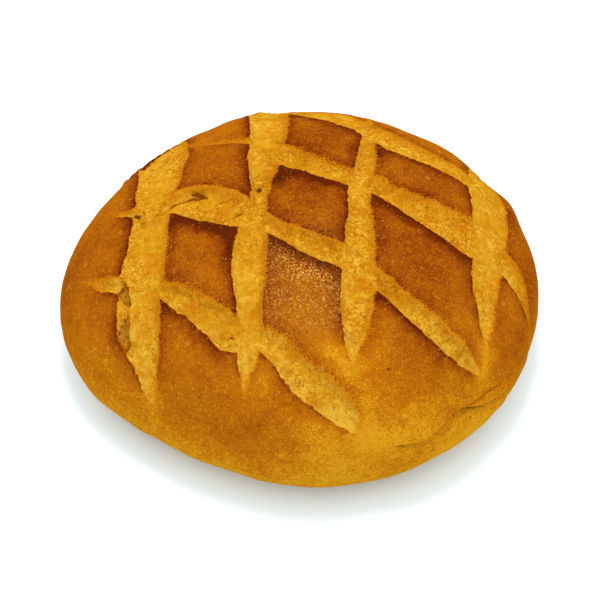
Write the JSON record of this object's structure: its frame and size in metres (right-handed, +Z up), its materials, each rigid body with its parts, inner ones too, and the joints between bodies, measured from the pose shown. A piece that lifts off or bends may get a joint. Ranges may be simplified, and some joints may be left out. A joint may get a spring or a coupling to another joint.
{
  "type": "sourdough loaf",
  "caption": "Round sourdough loaf with a scored lattice top, whole and uncut, for food displays, kitchens and market stalls.",
  "frame": {"origin": "middle of the loaf's box, on the plane of its flat underside", "axes": "+Z up through the dome, +X to the right of the shown side, -Y towards the viewer of the shown side"},
  "size_m": [0.228, 0.2172, 0.0922],
  "materials": {
    "baked_crust": null
  },
  "bodies": {
    "root": {"loaf": "baked_crust"}
  },
  "joints": []
}
